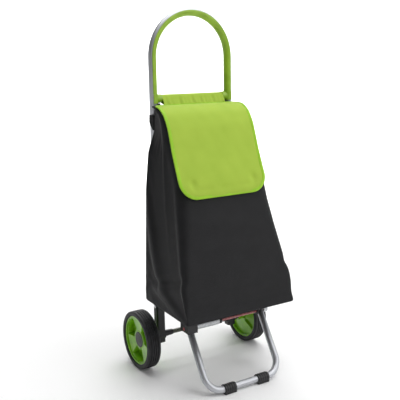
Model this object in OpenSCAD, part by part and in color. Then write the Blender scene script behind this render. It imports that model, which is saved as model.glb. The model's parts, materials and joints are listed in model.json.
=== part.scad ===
// Folding two-wheel shopping cart: an aluminium hoop frame that carries a soft
// bag with a hanging lid, two spoked wheels on a through axle, and a tube stand
// that swings back under the bag.
// X runs across the cart, -Y is the front, +Z is up, and the floor is Z = 0.

/* [Frame] */
// Overall height, floor to the top of the handle arch
frame_h = 963; // [800:1:1200]
// Spacing of the two frame legs, axis to axis
frame_w = 234.8; // [200:0.1:280]
// Outer diameter of the frame tube
tube_d = 20; // [16:0.5:24]
// Wall of the aluminium tubes
tube_wall = 1.5; // [1:0.1:2.5]
// Backward lean of the frame, in degrees
lean = 1.8; // [0:0.1:6]
// Wall of the snap-on grip liner
liner_wall = 1.6; // [1:0.1:3]
// Half of the liner's wrap round the tube, in degrees
liner_half_angle = 107; // [60:1:130]

/* [Crossbar] */
// Height of the crossbar's axis above the floor
crossbar_z = 731; // [600:1:850]
// Diameter of the crossbar
crossbar_d = 16; // [12:0.5:20]
// Thickness of the fabric sleeve round the crossbar
sleeve_wall = 2; // [1:0.1:4]
// Wall of the clips that hold the crossbar to the legs
clip_wall = 3.5; // [2:0.1:6]
// Height of those clips
clip_h = 24; // [16:1:36]

/* [Wheels] */
// Outer diameter of the wheels
wheel_d = 160; // [120:1:220]
// Width of the tyre
tyre_w = 38.4; // [24:0.1:50]
// Radial thickness of the tyre
tyre_t = 13; // [8:0.5:20]
// Distance between the outer faces of the two tyres
track_w = 388.8; // [340:0.1:460]
// Diameter of the axle
axle_d = 12; // [8:0.5:16]
// Number of spokes in a wheel
spokes = 3; // [3:1:6]
// Angle that each pocket between the spokes takes up, in degrees
pocket_angle = 64; // [30:1:80]
// Radius of the cap over the hub
cap_r = 21.5; // [18:0.5:26]

/* [Leg sockets] */
// Width of a leg socket across the cart
socket_w = 24.5; // [23:0.5:34]
// Depth of a leg socket, front to back
socket_l = 24.5; // [23:0.5:40]
// How far a socket reaches below the axle
socket_drop = 20; // [14:1:30]

/* [Bag] */
// Height of the bag's floor
bag_z = 197; // [170:1:240]
// Depth of the bag at its floor
bag_l = 221.5; // [160:0.5:300]
// Half width of the bag at its floor
bag_half_w = 167.6; // [140:0.1:200]
// Half width of the bag a little above its middle
bag_waist_half_w = 147; // [142:0.5:170]
// Half width of the bag at its top
bag_top_half_w = 139; // [138:0.5:170]
// Thickness of the bag's wall
bag_wall = 2.5; // [2:0.1:5]
// Height of the straight band above the bag's floor
bag_band_h = 67; // [40:1:100]
// How far the front leans back over that band
bag_band_lean = 8; // [0:1:20]
// Height of the front panel's rim, under the lid
mouth_z = 640; // [560:1:660]
// Distance from the leg axes to the bag's back panel
bag_back_gap = 16.2; // [14:0.1:24]

/* [Lid] */
// Thickness of the lid
lid_t = 3; // [2:0.1:6]
// Gap between the lid and the bag
lid_gap = 1; // [0.5:0.1:3]
// Half width of the lid
lid_half_w = 131.8; // [110:0.1:136]
// Radius of the lid's lower corners
lid_corner_r = 48; // [20:1:70]
// Width of the binding round the lid
binding_w = 9; // [5:0.5:16]

/* [Stand] */
// Outer diameter of the stand tube
stand_d = 18; // [14:0.5:22]
// Spacing of the stand's legs, axis to axis
stand_w = 227.4; // [180:0.1:260]
// How far the stand's ground bar lies in front of the axle
stand_reach = 248; // [200:1:300]
// Radius of the stand's two bends, on the tube axis
stand_bend_r = 44; // [30:1:46]
// Height of the stand's pivot
pivot_z = 155; // [140:1:160]
// How far the stand's pivot lies in front of the axle
pivot_reach = 151.5; // [130:0.5:170]
// Diameter of the pivot rod
rod_d = 8; // [6:0.5:10]
// Thickness of a foot clip
foot_wall = 3.5; // [2:0.1:6]
// Length of a foot clip
foot_l = 35; // [20:1:50]
// Spacing of the two foot clips, centre to centre
foot_spacing = 104; // [80:1:104]

/* [Platform] */
// Diameter of a platform rail
rail_d = 12; // [8:0.5:16]
// Thickness of a joint block's cheeks
cheek_t = 5; // [4:0.5:8]
// Outer diameter of the sleeve on the pivot rod
rod_sleeve_d = 19; // [14:0.5:22]
// Length of that sleeve
rod_sleeve_l = 76; // [40:1:120]
// Thickness of the board in the bottom of the bag
board_t = 3; // [2:0.5:6]

/* [Hidden] */
$fn = 64;

// Finishes
GREEN = "#8cc02c";
LIME = "#a6c846";
BLACK = "#1f1f22";
ALUMINIUM = "#c9cbce";
STEEL = "#5a5c55";
RED_STEEL = "#b4706c";
GREY = "#b8babc";

// Clearances
run_gap = 0.05;    // between a shaft and what turns on it, on the radius
fit_gap = 0.1;     // between fixed pieces that slide together, on the radius
fabric_gap = 0.3;  // between fabric and the tube inside it
eps = 1;           // overshoot of a cut

// Wheels and axle
wheel_r = wheel_d / 2;
tyre_in = track_w / 2 - tyre_w;          // inner face of a tyre
rim_r = wheel_r - tyre_t;                // outer radius of the hub's rim
rim_inset = 3.5;                         // rim edge inside the tyre's faces
rim_t = 5;
boss_r = cap_r + 4;
boss_in = tyre_in - 13;                  // inner end of the hub's boss
dish = 9;                                // how far the spokes sit inside the rim's edge
pocket_depth = 13;
web_t = 6;
spoke_face = track_w / 2 - rim_inset - dish;
bush_wall = 2.5;
bush_r = axle_d / 2 + run_gap + bush_wall;
axle_end = spoke_face - 1;
retainer_t = 2;
cap_t = 2.5;

// Frame
tube_r = tube_d / 2;
arch_r = frame_w / 2;
arch_h = (frame_h - wheel_r - tube_r) / cos(lean) - arch_r;  // leg length above the axle
tube_foot = axle_d / 2;                                      // the legs end just above the axle
crossbar_h = (crossbar_z - wheel_r) / cos(lean);             // along the legs, above the axle
clip_r = tube_r + clip_wall;
clip_boss_r = crossbar_d / 2 + clip_wall;
clip_boss_l = 9;
sleeve_half_w = arch_r - clip_r - clip_boss_l;

// The whole is centred front to back between the feet and the wheels
foot_r = stand_d / 2 + foot_wall;
axle_y = (stand_reach + foot_r - wheel_r) / 2;

// Bag
bag_front = bag_l + bag_back_gap - (bag_z - wheel_r) * tan(lean);  // in front of the axle
socket_top = bag_z - 1;                                          // sockets end under the bag
lid_bottom = 489;
lid_top = crossbar_z - 15;
// Outer face of the lid from its hinge to its hanging edge: [y from the axle, z]
lid_curve = [[2, lid_top], [-35, lid_top - 2], [-62, lid_top - 19], [-84, lid_top - 50],
    [-112, lid_top - 114], [-133, lid_top - 156], [-150, lid_top - 191], [-163, lid_bottom]];
lid_hinge = [0.5, lid_top - lid_t / 2];

// Stand
stand_r = stand_d / 2;
ground_z = foot_r;
stand_tilt = atan((stand_reach - pivot_reach) / (pivot_z - ground_z));
stand_leg = norm([stand_reach - pivot_reach, pivot_z - ground_z]);  // pivot to ground bar
stand_top = 12;                                                     // tube above the pivot
block_gap = stand_d + 1;
block_w = block_gap + 2 * cheek_t;
block_front = stand_top + 8.3;                                      // in front of the pivot
block_back = 19;
block_web = 4;
block_bottom = pivot_z - 9;
rail_z = bag_z - rail_d / 2 - 0.2;
rod_left = stand_w / 2 + block_w / 2 + 2;
cap_x = stand_w / 2 + stand_r + 0.5;                                // start of the rod's end cap
cap_l = 16;

function y_at(z) = (z - wheel_r) * tan(lean);
function unit(v) = v / norm(v);
// The points of a line moved sideways by d, each along its own normal
function pushed(line, d) = [for (i = [0:len(line) - 1])
    let (a = line[max(i - 1, 0)], b = line[min(i + 1, len(line) - 1)], t = unit(b - a))
    line[i] + d * [-t[1], t[0]]];
function backwards(line) = [for (i = [len(line) - 1:-1:0]) line[i]];

// The bag's front, seen from the side, from its floor up to the lid's hinge, moved in by d
function bag_front_line(d) = concat(
    [[-bag_front + d, bag_z], [-bag_front + bag_band_lean + d, bag_z + bag_band_h]],
    [for (i = [len(lid_curve) - 1:-1:1]) pushed(lid_curve, lid_t + lid_gap + d)[i]]);
function bag_back_y(z) = y_at(z) - bag_back_gap;
bag_top = lid_top - lid_t - lid_gap;
// The bag's side wall, seen from the front, moved in by d
function bag_wall_line(d) = [[bag_half_w - d, bag_z], [bag_half_w - d, bag_z + bag_band_h],
    [bag_waist_half_w - d, bag_z + 240], [bag_top_half_w - d, lid_top]];

module at_axle() translate([0, axle_y, 0]) children();
// Space of the leaning frame: origin on the axle, Z along the legs
module frame_space() at_axle() translate([0, 0, wheel_r]) rotate([-lean, 0, 0]) children();
// Space of the stand: origin on its pivot, -Z along its legs
module stand_space() at_axle() translate([0, -pivot_reach, pivot_z]) rotate([-stand_tilt, 0, 0])
    children();
// A cylinder along X from x0 to x1
module rod_x(r, x0, x1) translate([x0, 0, 0]) rotate([0, 90, 0]) cylinder(r = r, h = x1 - x0);
// A YZ outline given a width along X
module across(x0, x1) translate([x0, 0, 0]) rotate([90, 0, 90]) linear_extrude(x1 - x0) children();
module rounded_rect(w, l, r) {
    square([w - 2 * r, l], center = true);
    square([w, l - 2 * r], center = true);
    for (x = [-1, 1], y = [-1, 1]) translate([x * (w / 2 - r), y * (l / 2 - r)]) circle(r);
}
module ring(r_out, r_in) difference() {
    circle(r_out);
    circle(r_in);
}
module pipe(r_out, r_in, h) linear_extrude(h) ring(r_out, r_in);
// A bent pipe in the XZ plane: a quarter or half turn of radius r, from the +X side upwards
module bend(r, r_out, r_in, angle) rotate([90, 0, 0])
    rotate_extrude(angle = angle) translate([r, 0]) ring(r_out, r_in);

// ---- Hoop frame ----

module handle_tube() color(ALUMINIUM) difference() {
    frame_space() {
        for (side = [-1, 1]) translate([side * arch_r, 0, tube_foot])
            pipe(tube_r, tube_r - tube_wall, arch_h - tube_foot);
        translate([0, 0, arch_h]) bend(arch_r, tube_r, tube_r - tube_wall, 180);
    }
    socket_pin_holes();
}

// C-shaped section that wraps the tube and opens away from the arch's middle
module saddle(wall) difference() {
    ring(tube_r + fit_gap + wall, tube_r + fit_gap);
    polygon([[0, 0], for (a = [liner_half_angle, 180, 360 - liner_half_angle])
        2 * tube_d * [cos(a), sin(a)]]);
}

module grip_liner() color(GREEN) frame_space() union() {
    liner_h = crossbar_h + clip_h / 2 + 0.5;
    for (side = [-1, 1]) translate([side * arch_r, 0, liner_h])
        linear_extrude(arch_h - liner_h) rotate(side > 0 ? 180 : 0) saddle(liner_wall);
    translate([0, 0, arch_h]) rotate([90, 0, 0])
        rotate_extrude(angle = 180) translate([arch_r, 0]) rotate(180) saddle(liner_wall);
}

module crossbar() color(GREEN) frame_space() translate([0, 0, crossbar_h])
    rod_x(crossbar_d / 2, -arch_r + tube_r + 0.5, arch_r - tube_r - 0.5);

// Open clip on the inner side of one leg, with a boss that takes the crossbar's end
module crossbar_clip(side) color(GREEN) frame_space() translate([0, 0, crossbar_h])
    difference() {
        union() {
            translate([side * arch_r, 0, -clip_h / 2]) rotate(side > 0 ? 180 : 0)
                linear_extrude(clip_h) saddle(clip_wall - fit_gap);
            mirror([side < 0 ? 1 : 0, 0, 0])
                rod_x(clip_boss_r, arch_r - clip_r - clip_boss_l, arch_r - tube_r / 2);
        }
        translate([side * arch_r, 0, -clip_h]) cylinder(r = tube_r + fit_gap, h = 2 * clip_h);
        rod_x(crossbar_d / 2 + fit_gap, -arch_r, arch_r);
        // slot across the top of the clip
        translate([side * arch_r, 0, clip_h / 2]) cube([2 * clip_r + eps, 3, 8], center = true);
    }
module crossbar_clip_left() crossbar_clip(-1);
module crossbar_clip_right() crossbar_clip(1);

// Hook under each clip: a tongue beside the leg with a toe that holds the bag's loop
module bag_hook(side) color(BLACK) frame_space()
    translate([side * (arch_r - clip_r - 2.5), 0, crossbar_h - clip_h / 2 - 0.1]) {
        hook_w = 6;
        across(-hook_w / 2, hook_w / 2)
            polygon([[-7, 0], [7, 0], [7, -15], [-13, -15], [-13, -6], [-9, -6], [-9, -11], [-7, -11]]);
    }
module bag_hook_left() bag_hook(-1);
module bag_hook_right() bag_hook(1);

// ---- Leg sockets and axle ----

socket_h = socket_top - wheel_r - 0.6;   // above the axle, along the leaning leg
module leg_socket(side) color(BLACK) difference() {
    frame_space() translate([side * arch_r, 0, 0]) difference() {
        union() {
            translate([0, 0, -socket_drop]) linear_extrude(socket_h + socket_drop)
                rounded_rect(socket_w, socket_l, 5);
            rod_x(axle_d / 2 + 7, -socket_w / 2 - 1.5, socket_w / 2 + 1.5);
        }
        translate([0, 0, tube_foot]) cylinder(r = tube_r + fit_gap, h = socket_h + eps);
        rod_x(axle_d / 2 + fit_gap, -socket_w, socket_w);
        // the foot is cut off at a slant
        translate([0, -socket_l / 2 - 5, -socket_drop]) rotate([-18, 0, 0])
            translate([-socket_w, -socket_l, -socket_drop]) cube([2 * socket_w, 3 * socket_l, socket_drop]);
    }
    socket_pin_holes();
}
module leg_socket_left() leg_socket(-1);
module leg_socket_right() leg_socket(1);

pin_r = 2.5;
pin_heights = [34, 84];
module socket_pin_holes() frame_space() for (side = [-1, 1], h = pin_heights)
    translate([side * arch_r, 0, h]) rod_x(pin_r + fit_gap, -socket_w, socket_w);
module socket_pins() color(GREY) frame_space() for (side = [-1, 1], h = pin_heights)
    translate([side * arch_r, 0, h]) {
        rod_x(pin_r, -socket_w / 2, socket_w / 2);
        for (end = [-1, 1]) translate([end * (socket_w / 2 + 0.75), 0, 0]) rod_x(2 * pin_r, -0.75, 0.75);
    }

module axle() color(STEEL) at_axle() translate([0, 0, wheel_r]) rod_x(axle_d / 2, -axle_end, axle_end);

// Tapered collars on the axle, against the inner face of each socket
module axle_collars() color(BLACK) at_axle() translate([0, 0, wheel_r]) for (side = [-1, 1]) {
    collar_x = arch_r - socket_w / 2 - 1.5;
    collar_l = 26;
    mirror([side < 0 ? 1 : 0, 0, 0]) difference() {
        translate([collar_x, 0, 0]) rotate([0, -90, 0])
            cylinder(r1 = axle_d / 2 + 3.5, r2 = axle_d / 2 + 1.5, h = collar_l);
        rod_x(axle_d / 2 + fit_gap, 0, arch_r);
    }
}

// Spacers between each socket and its wheel
module axle_spacers() color(BLACK) at_axle() translate([0, 0, wheel_r]) for (side = [-1, 1])
    mirror([side < 0 ? 1 : 0, 0, 0]) difference() {
        rod_x(axle_d / 2 + 4, arch_r + socket_w / 2 + 1.5, boss_in - 0.3);
        rod_x(axle_d / 2 + fit_gap, 0, track_w);
    }

// Push-on rings that keep the wheels on the axle
module wheel_retainers() color(STEEL) at_axle() translate([0, 0, wheel_r]) for (side = [-1, 1])
    mirror([side < 0 ? 1 : 0, 0, 0]) difference() {
        rod_x(axle_d / 2 + 4, axle_end - retainer_t - 1, axle_end - 1);
        rod_x(axle_d / 2, 0, track_w);
    }

// ---- Wheels ----

// What follows stands on the axle's +X side; the left wheel is its mirror image
module wheel_side(side) at_axle() translate([0, 0, wheel_r])
    mirror([side < 0 ? 1 : 0, 0, 0]) rotate([0, 90, 0]) children();

module tyre(side) color(BLACK) wheel_side(side) {
    shoulder = 4;
    groove_w = 2.4;
    groove_depth = 2;
    rotate_extrude() difference() {
        union() {
            translate([rim_r, tyre_in]) square([tyre_t - shoulder, tyre_w]);
            translate([rim_r, tyre_in + shoulder]) square([tyre_t, tyre_w - 2 * shoulder]);
            for (x = [tyre_in + shoulder, tyre_in + tyre_w - shoulder])
                translate([wheel_r - shoulder, x]) circle(shoulder);
        }
        for (i = [-1.5:1:1.5]) translate([wheel_r - groove_depth, tyre_in + tyre_w / 2 + i * 6.6 - groove_w / 2])
            square([groove_depth + eps, groove_w]);
    }
}
module tyre_left() tyre(-1);
module tyre_right() tyre(1);

module wheel_hub(side) color(GREEN) wheel_side(side) difference() {
    rim_in = tyre_in + rim_inset;
    rim_out = track_w / 2 - rim_inset;
    disc_back = spoke_face - pocket_depth - web_t;
    // one outline, from the axis out to the rim and back along the inner side
    rotate_extrude() polygon([[0, spoke_face], [boss_r, spoke_face],
        [rim_r - rim_t, spoke_face + dish - 4], [rim_r - rim_t, rim_out], [rim_r, rim_out],
        [rim_r, rim_in], [rim_r - rim_t, rim_in], [rim_r - rim_t, disc_back + 4],
        [boss_r, disc_back], [bush_r + 5, disc_back], [bush_r + 5, boss_in], [0, boss_in]]);
    // bore for the bush, and the seat of the cap
    translate([0, 0, boss_in - eps]) cylinder(r = bush_r, h = track_w);
    translate([0, 0, spoke_face - 5]) cylinder(r = cap_r + fit_gap, h = 2 * dish);
    // pockets between the spokes
    for (i = [0:spokes - 1]) rotate(i * 360 / spokes - pocket_angle / 2)
        translate([0, 0, spoke_face - pocket_depth]) rotate_extrude(angle = pocket_angle)
            translate([boss_r + 2.5, 0]) square([rim_r - rim_t - boss_r - 6, pocket_depth + dish]);
}
module wheel_hub_left() wheel_hub(-1);
module wheel_hub_right() wheel_hub(1);

module hub_bush(side) color(GREY) wheel_side(side) translate([0, 0, boss_in])
    pipe(bush_r, axle_d / 2 + run_gap, spoke_face - 5 - boss_in);
module hub_bush_left() hub_bush(-1);
module hub_bush_right() hub_bush(1);

module hub_cap(side) color(BLACK) wheel_side(side) difference() {
    translate([0, 0, spoke_face - 5]) rotate_extrude() {
        square([cap_r, 7.5]);
        translate([0, 7.5]) square([cap_r - 3, 1.5]);
    }
    translate([0, 0, spoke_face - 5 - eps]) cylinder(r = cap_r - cap_t, h = 8.5 + eps - cap_t + 0.5);
}
module hub_cap_left() hub_cap(-1);
module hub_cap_right() hub_cap(1);

// ---- Platform under the bag ----

module platform_rails() color(STEEL) at_axle() for (side = [-1, 1]) {
    rail_back = y_at(rail_z - rail_d / 2) - socket_l / 2 / cos(lean) - 0.05;
    rail_front = -pivot_reach + block_back;
    translate([side * stand_w / 2, rail_front, rail_z]) rotate([-90, 0, 0])
        cylinder(d = rail_d, h = rail_back - rail_front);
}

// A point on the front face of the stand's leg, seen from the side, s below the pivot
leg_face = stand_r + 0.3;
function on_leg_face(s) = [-leg_face * cos(stand_tilt) - s * sin(stand_tilt),
    leg_face * sin(stand_tilt) - s * cos(stand_tilt)];
// Slot for the leg, open below and behind; its front lip follows the leg
slot_front = -block_front + block_web;
block_drop = pivot_z - block_bottom;
block_slot = [[slot_front, stand_top + 4.5],
    on_leg_face((-slot_front - leg_face * cos(stand_tilt)) / sin(stand_tilt)),
    on_leg_face((block_drop + eps + leg_face * sin(stand_tilt)) / cos(stand_tilt)),
    [block_back + eps, -block_drop - eps], [block_back + eps, stand_top + 4.5]];

// Blocks that join the rails to the stand's pivot, each bored for the rod and the rivet
module joint_block(side) color(BLACK) at_axle() translate([side * stand_w / 2, -pivot_reach, pivot_z])
difference() {
    children();
    rod_x(rod_d / 2 + fit_gap, -block_w, block_w);
    translate([0, 0, rail_z - 8 - pivot_z]) block_rivet_holes();
}
module block_body(bottom) translate([-block_w / 2, -block_front, bottom])
    cube([block_w, block_front + block_back, bag_z - 0.3 - pivot_z - bottom]);
// The left block: two cheeks, a roof and a front stop
module joint_block_left() joint_block(-1) difference() {
    block_body(-block_drop);
    across(-block_gap / 2, block_gap / 2) polygon(block_slot);
}
// The right block: a roof, with one cheek on the inner side of the leg
module joint_block_right() joint_block(1) {
    roof = stand_top + 4.5;
    eye_r = rod_d / 2 + 4;
    block_body(roof);
    across(-block_w / 2, -block_gap / 2) {
        circle(eye_r);
        polygon([[-eye_r, 0], [eye_r, 0], [block_back, roof + eps], [-block_front, roof + eps]]);
    }
}

rivet_y = 10;
module block_rivet_holes() translate([0, rivet_y, 0]) rod_x(1.6, -block_w, block_w);
module block_rivets() color(GREY) at_axle() for (side = [-1, 1])
    translate([side * stand_w / 2, -pivot_reach + rivet_y, rail_z - 8]) {
        rod_x(1.5, -block_w / 2, block_w / 2);
        for (end = [-1, 1]) translate([end * (block_w / 2 + 0.6), 0, 0]) rod_x(3.2, -0.6, 0.6);
    }

module pivot_rod() color(RED_STEEL) at_axle() translate([0, -pivot_reach, pivot_z])
    rod_x(rod_d / 2, -rod_left, cap_x + cap_l - 6);
// Everything below is threaded on the pivot rod
module on_rod(r, x0, x1) at_axle() translate([0, -pivot_reach, pivot_z]) difference() {
    rod_x(r, x0, x1);
    rod_x(rod_d / 2 + fit_gap, -stand_w, stand_w);
}
sleeve_start = -stand_w / 2 + block_w / 2 + 0.2;
sleeve_end = sleeve_start + rod_sleeve_l;
module rod_sleeve() color(GREY) on_rod(rod_sleeve_d / 2, sleeve_start, sleeve_end);
module rod_stop() color(BLACK) on_rod(rod_sleeve_d / 2 - 1, sleeve_end + 0.1, sleeve_end + 8);
// Domed cap on the rod's right end, against the stand's leg
module rod_end_cap() color(GREY) at_axle() translate([0, -pivot_reach, pivot_z]) difference() {
    dome_r = rod_d / 2 + 3.5;
    union() {
        rod_x(dome_r, cap_x, cap_x + cap_l - dome_r);
        translate([cap_x + cap_l - dome_r, 0, 0]) sphere(dome_r);
    }
    rod_x(rod_d / 2 + fit_gap, 0, cap_x + cap_l - 6 + fit_gap);
}

// ---- Bag ----

// Front and back panels, between the side panels
module between_sides() intersection() {
    across(-bag_half_w, bag_half_w) children();
    translate([0, bag_half_w, 0]) rotate([90, 0, 0]) linear_extrude(bag_front + bag_half_w)
        polygon(concat(bag_wall_line(bag_wall), backwards([for (p = bag_wall_line(bag_wall)) [-p[0], p[1]]])));
}
module bag_front() color(BLACK) at_axle() difference() {
    between_sides() polygon(concat(bag_front_line(0), backwards(bag_front_line(bag_wall))));
    // the mouth, under the lid
    translate([-bag_half_w, -bag_front, mouth_z]) cube([2 * bag_half_w, 2 * bag_front, lid_top]);
}
module bag_back() color(BLACK) at_axle() between_sides() polygon([
    [bag_back_y(bag_z), bag_z], [bag_back_y(bag_top), bag_top],
    [bag_back_y(bag_top) - bag_wall, bag_top], [bag_back_y(bag_z) - bag_wall, bag_z]]);

// Side panel, with its front edge up under the lid
module bag_side(side) color(BLACK) at_axle() intersection() {
    across(-bag_half_w, bag_half_w)
        polygon(concat([[bag_back_y(bag_z), bag_z]], bag_front_line(0), [[bag_back_y(bag_top), bag_top]]));
    mirror([side < 0 ? 1 : 0, 0, 0]) translate([0, bag_half_w, 0]) rotate([90, 0, 0])
        linear_extrude(bag_front + bag_half_w)
            polygon(concat(bag_wall_line(0), backwards(bag_wall_line(bag_wall))));
}
module bag_side_left() bag_side(-1);
module bag_side_right() bag_side(1);

module bag_floor() color(BLACK) at_axle() {
    front = -bag_front + bag_wall + 1;
    translate([-bag_half_w + bag_wall, front, bag_z])
        cube([2 * (bag_half_w - bag_wall), bag_back_y(bag_z) - bag_wall - front, bag_wall]);
}

module base_board() color(BLACK) at_axle() {
    back = bag_back_y(bag_z) - bag_wall - 2;
    front = -bag_front + bag_wall + 3;
    translate([-bag_half_w + bag_wall + 3, front, bag_z + bag_wall])
        cube([2 * (bag_half_w - bag_wall - 3), back - front, board_t]);
}

// Fabric sleeve sewn to the back of the lid, with the crossbar through it
module crossbar_sleeve() color(GREEN) at_axle() across(-sleeve_half_w, sleeve_half_w) {
    sleeve_in = crossbar_d / 2 + fabric_gap;
    difference() {
        union() {
            translate([y_at(crossbar_z), crossbar_z]) circle(sleeve_in + sleeve_wall);
            polygon([[3.2, lid_top], [3.2, lid_top - lid_t],
                [y_at(crossbar_z), crossbar_z - sleeve_in - sleeve_wall],
                [y_at(crossbar_z) - sleeve_in, crossbar_z]]);
        }
        translate([y_at(crossbar_z), crossbar_z]) circle(sleeve_in);
    }
}

// Fabric tube round a frame leg, joined to the bag's back panel
module leg_fabric(side, z0, z1) color(BLACK) frame_space() translate([side * arch_r, 0, z0])
    linear_extrude(z1 - z0) difference() {
        union() {
            circle(tube_r + fabric_gap + 2);
            translate([-6, -bag_back_gap + 0.2]) square([12, bag_back_gap - tube_r]);
        }
        circle(tube_r + fabric_gap);
    }
module frame_loop_left() leg_fabric(-1, crossbar_h - 80, crossbar_h - 42);
module frame_loop_right() leg_fabric(1, crossbar_h - 80, crossbar_h - 42);
module leg_sleeve_left() leg_fabric(-1, bag_z - wheel_r + 3, crossbar_h - 139);
module leg_sleeve_right() leg_fabric(1, bag_z - wheel_r + 3, crossbar_h - 139);

// ---- Lid ----

// The lid's curved slab, cut to its outline with a margin of m all round
module lid_slab(m) at_axle() intersection() {
    across(-lid_half_w, lid_half_w) polygon(concat(lid_curve, backwards(pushed(lid_curve, lid_t))));
    translate([0, eps, 0]) rotate([90, 0, 0]) linear_extrude(bag_front) lid_outline(m);
}
module lid_outline(m) {
    w = lid_half_w - m;
    r = lid_corner_r - m;
    low = lid_bottom + m;
    translate([-w, low + r]) square([2 * w, lid_top - low - r + (m > 0 ? -2 : eps)]);
    translate([-w + r, low]) square([2 * (w - r), r + eps]);
    for (x = [-1, 1]) translate([x * (w - r), low + r]) circle(r);
}
module lid_panel() color(LIME) difference() {
    lid_slab(binding_w);
    lid_back_band();
}
module lid_binding() color(GREEN) difference() {
    lid_slab(0);
    difference() {
        lid_slab(binding_w);
        lid_back_band();
    }
}
// Strip of the lid next to its hinge, which belongs to the binding
module lid_back_band() at_axle() translate([-bag_half_w, -binding_w, lid_top - 20])
    cube([2 * bag_half_w, 2 * binding_w, 40]);

// ---- Stand ----

module stand_tube() color(ALUMINIUM) stand_space() difference() {
    union() {
        for (side = [-1, 1]) translate([side * stand_w / 2, 0, -stand_leg + stand_bend_r])
            pipe(stand_r, stand_r - tube_wall, stand_leg - stand_bend_r + stand_top);
        for (side = [0, 1]) mirror([side, 0, 0])
            translate([stand_w / 2 - stand_bend_r, 0, -stand_leg + stand_bend_r])
                mirror([0, 0, 1]) bend(stand_bend_r, stand_r, stand_r - tube_wall, 90);
        translate([-stand_w / 2 + stand_bend_r, 0, -stand_leg]) rotate([0, 90, 0])
            pipe(stand_r, stand_r - tube_wall, stand_w - 2 * stand_bend_r);
    }
    rod_x(rod_d / 2 + 0.2, -stand_w, stand_w);
}

// Nylon plugs in the leg tops, which turn on the pivot rod
module stand_plugs() color(BLACK) stand_space() for (side = [-1, 1]) difference() {
    translate([side * stand_w / 2, 0, -stand_top]) cylinder(r = stand_r - tube_wall, h = 2 * stand_top);
    rod_x(rod_d / 2 + run_gap, -stand_w, stand_w);
}

// Ribbed clip on the ground bar, with a flat sole
module foot_clip(side) color(BLACK) at_axle()
    translate([side * foot_spacing / 2 - foot_l / 2, -stand_reach, ground_z]) difference() {
        rotate([0, 90, 0]) rotate(180) union() {
            rib = 3.5;
            for (i = [0:4]) translate([0, 0, i * 2 * rib]) cylinder(r = foot_r, h = rib);
            cylinder(r = foot_r - 0.8, h = foot_l);
            translate([-foot_r, -foot_r + 2, 0]) cube([6, 2 * foot_r - 4, foot_l]);
        }
        translate([-eps, 0, 0]) rotate([0, 90, 0]) cylinder(r = stand_r + 0.02, h = foot_l + 2 * eps);
    }
module foot_clip_left() foot_clip(-1);
module foot_clip_right() foot_clip(1);

handle_tube();
grip_liner();
crossbar();
crossbar_clip_left();
crossbar_clip_right();
bag_hook_left();
bag_hook_right();
leg_socket_left();
leg_socket_right();
socket_pins();
axle();
axle_collars();
axle_spacers();
wheel_retainers();
platform_rails();
joint_block_left();
joint_block_right();
block_rivets();
pivot_rod();
rod_sleeve();
rod_stop();
rod_end_cap();
bag_front();
bag_back();
bag_side_left();
bag_side_right();
bag_floor();
base_board();
crossbar_sleeve();
frame_loop_left();
frame_loop_right();
leg_sleeve_left();
leg_sleeve_right();
lid_panel();
lid_binding();
stand_tube();
stand_plugs();
foot_clip_left();
foot_clip_right();
tyre_left();
wheel_hub_left();
hub_bush_left();
hub_cap_left();
tyre_right();
wheel_hub_right();
hub_bush_right();
hub_cap_right();
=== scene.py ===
# %% [markdown]
# # A two-wheel shopping cart
# The cart is one bent aluminium hoop that carries a sewn bag, with a green lid hung from a crossbar, two
# moulded wheels and a tube stand in front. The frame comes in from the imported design, and each visible piece
# is then built again at full finish, exactly where the design has it. Every shape below is a function of two
# parameters on a grid, worked out as whole numpy arrays, because that keeps a formula and its surface together.

# %% Load the frame
import json
import math
import bmesh
import bpy
import numpy as np
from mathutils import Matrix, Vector


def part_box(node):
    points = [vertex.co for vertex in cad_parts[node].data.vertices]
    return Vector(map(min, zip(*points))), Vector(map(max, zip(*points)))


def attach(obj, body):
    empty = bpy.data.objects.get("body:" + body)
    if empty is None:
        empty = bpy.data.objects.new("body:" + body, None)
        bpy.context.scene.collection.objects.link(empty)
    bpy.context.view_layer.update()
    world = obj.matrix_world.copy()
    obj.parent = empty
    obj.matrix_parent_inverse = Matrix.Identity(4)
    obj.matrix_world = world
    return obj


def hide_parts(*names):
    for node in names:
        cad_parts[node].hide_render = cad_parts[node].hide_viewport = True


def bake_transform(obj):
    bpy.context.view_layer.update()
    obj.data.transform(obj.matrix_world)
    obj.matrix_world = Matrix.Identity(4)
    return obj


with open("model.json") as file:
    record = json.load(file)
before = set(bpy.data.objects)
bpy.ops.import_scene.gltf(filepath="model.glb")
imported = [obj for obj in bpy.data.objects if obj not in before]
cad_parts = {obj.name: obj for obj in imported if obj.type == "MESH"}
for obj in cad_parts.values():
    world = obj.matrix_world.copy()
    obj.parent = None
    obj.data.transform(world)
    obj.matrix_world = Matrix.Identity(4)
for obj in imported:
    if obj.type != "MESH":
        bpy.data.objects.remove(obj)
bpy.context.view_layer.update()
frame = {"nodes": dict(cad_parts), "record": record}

mm = 0.001
SIDES = (("left", -1), ("right", 1))

# %% [markdown]
# ## Places worked out from the frame
# Real carts are drawn from a few centre lines: the axle, the stand's pivot and the two legs. The same lines
# are measured here from the nodes' boxes, so a change in the design moves every piece along with it.

# %% Centre lines
def box(*nodes):
    """Lowest and highest corner of some nodes together, as arrays."""
    corners = np.array([[list(c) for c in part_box(n)] for n in nodes])
    return corners[:, 0].min(0), corners[:, 1].max(0)


def middle(node):
    """Centre of a node's box."""
    return np.mean(box(node), axis=0)


LEAN = math.radians(1.8)
axle_y, wheel_r = middle("axle")[1:]
pivot_y, pivot_z = middle("pivot_rod")[1:]
frame_top = box("handle_tube")[1][2]
tube_r = 10 * mm
arch_r = box("handle_tube")[1][0] - tube_r
bag_floor_z = box("bag_floor")[0][2]
bag_front_y = box("bag_front")[0][1]
crossbar_y, crossbar_z = middle("crossbar")[1:]
print("arch radius, mm:", round(arch_r / mm, 1), " axle y, mm:", round(axle_y / mm, 2))


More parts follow.
